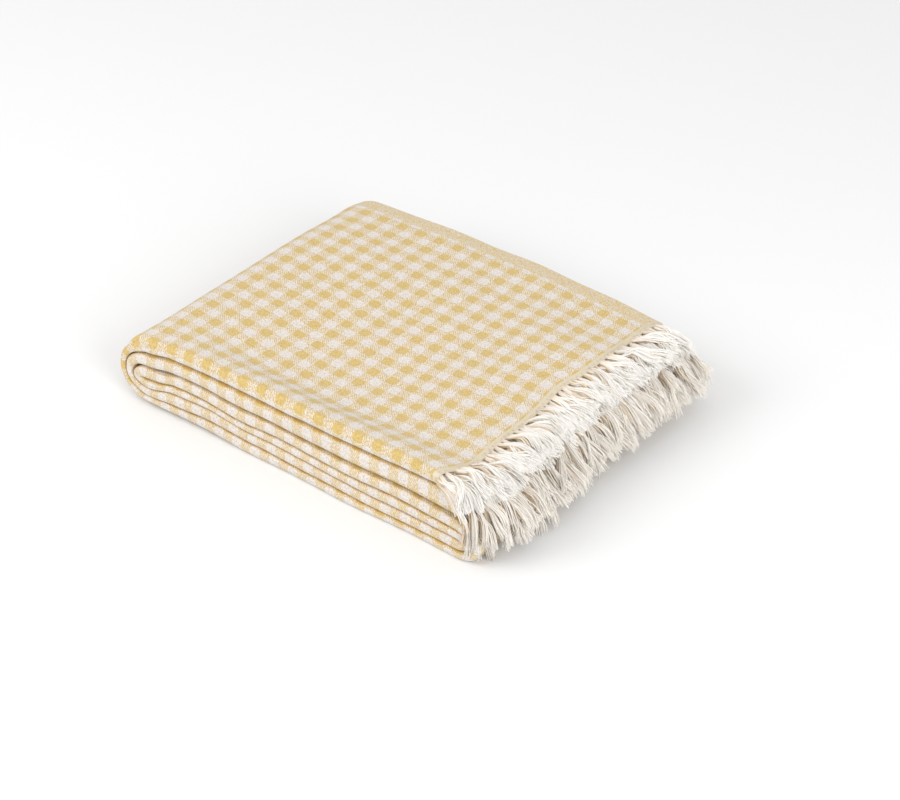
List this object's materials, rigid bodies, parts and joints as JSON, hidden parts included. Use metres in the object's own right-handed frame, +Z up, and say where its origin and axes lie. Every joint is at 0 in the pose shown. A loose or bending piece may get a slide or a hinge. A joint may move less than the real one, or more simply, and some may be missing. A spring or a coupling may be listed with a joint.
{
  "type": "folded throw blanket",
  "caption": "Woven gingham cotton throw folded into a flat square stack, with end folds on one side and a fringe on the other.",
  "frame": {"origin": "on the surface that the folded throw lies on, under the middle of its bounding box", "axes": "+X from the end folds towards the fringed end, +Y from the front crease towards the selvedges, +Z up through the stack"},
  "size_m": [0.4025, 0.314, 0.072],
  "materials": {
    "gingham_cloth": "soft brushed cotton twill, yellow and white gingham",
    "hem_band": "cream cotton stitching",
    "fringe_yarn": "fluffy undyed cotton yarn"
  },
  "bodies": {
    "root": {"bottom_layer": "gingham_cloth", "second_layer": "gingham_cloth", "third_layer": "gingham_cloth", "fourth_layer": "gingham_cloth", "inner_fold": "gingham_cloth", "outer_return_fold": "gingham_cloth", "inner_return_fold": "gingham_cloth", "outer_fold": "gingham_cloth", "middle_fold": "gingham_cloth"},
    "top_flap": {"fifth_layer": "gingham_cloth", "top_layer": "gingham_cloth", "top_hem": "hem_band", "second_hem": "hem_band", "top_fringe": "fringe_yarn", "second_fringe": "fringe_yarn"}
  },
  "joints": [
    {"name": "top_flap_fold", "type": "hinge", "parent": "root", "child": "top_flap", "pos_m": [-0.18725, 0, 0.036], "axis": [0, -1, 0], "range_deg": [0, 179.5], "deforming": ["outer_fold", "middle_fold"]}
  ]
}
